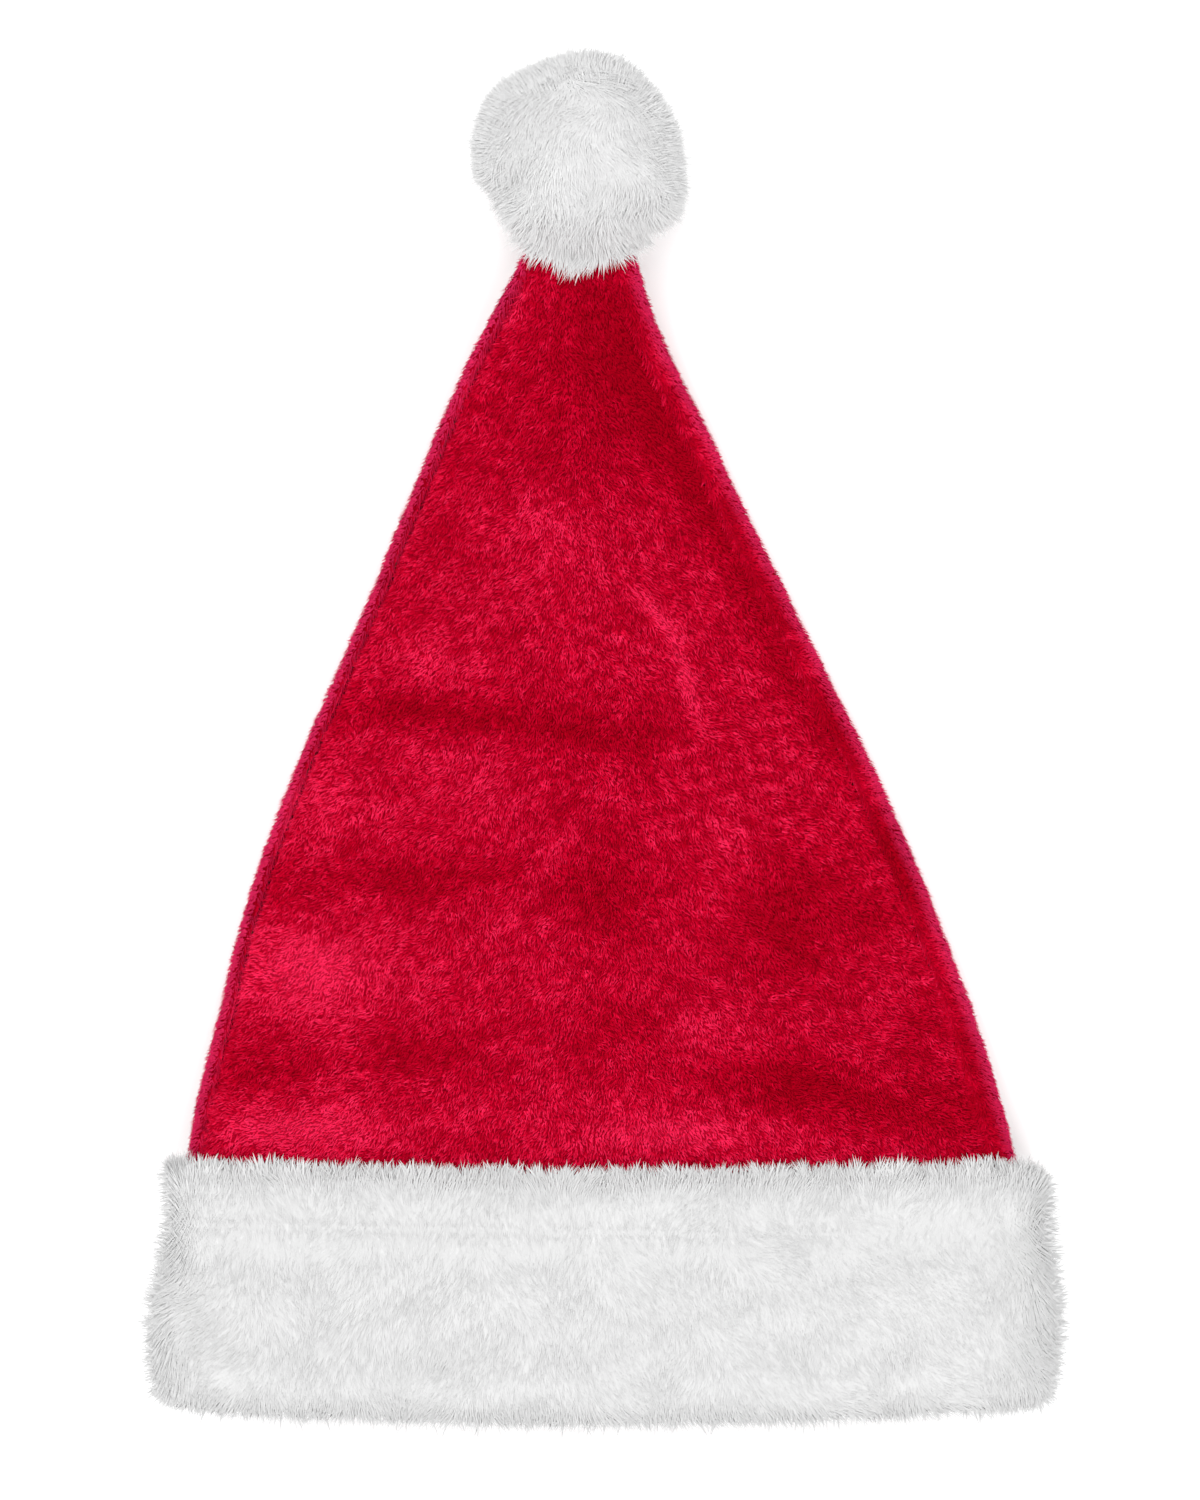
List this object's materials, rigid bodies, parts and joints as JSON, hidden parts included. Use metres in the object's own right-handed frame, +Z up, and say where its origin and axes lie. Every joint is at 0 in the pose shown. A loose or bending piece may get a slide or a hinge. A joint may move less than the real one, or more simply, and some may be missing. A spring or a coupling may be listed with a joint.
{
  "type": "santa hat",
  "caption": "Soft plush santa hat lying flat: tapered sewn crown, deep pile cuff round the open mouth that takes a head, and a pile pompom on the tip.",
  "frame": {"origin": "under the middle of the hat's outline, on the surface that it lies on", "axes": "+Y from the mouth to the pompom, +Z up from the surface through the front panel, +X to the right seen from above with the pompom away"},
  "size_m": [0.3163, 0.4715, 0.069],
  "materials": {
    "red_plush": "short crimson plush pile with a soft pinkish sheen where it is seen edge on",
    "white_pile": "deep matt white pile in soft clumps"
  },
  "bodies": {
    "root": {"crown_front_panel": "red_plush", "crown_back_panel": "red_plush", "fur_cuff": "white_pile", "pompom": "white_pile"}
  },
  "joints": []
}
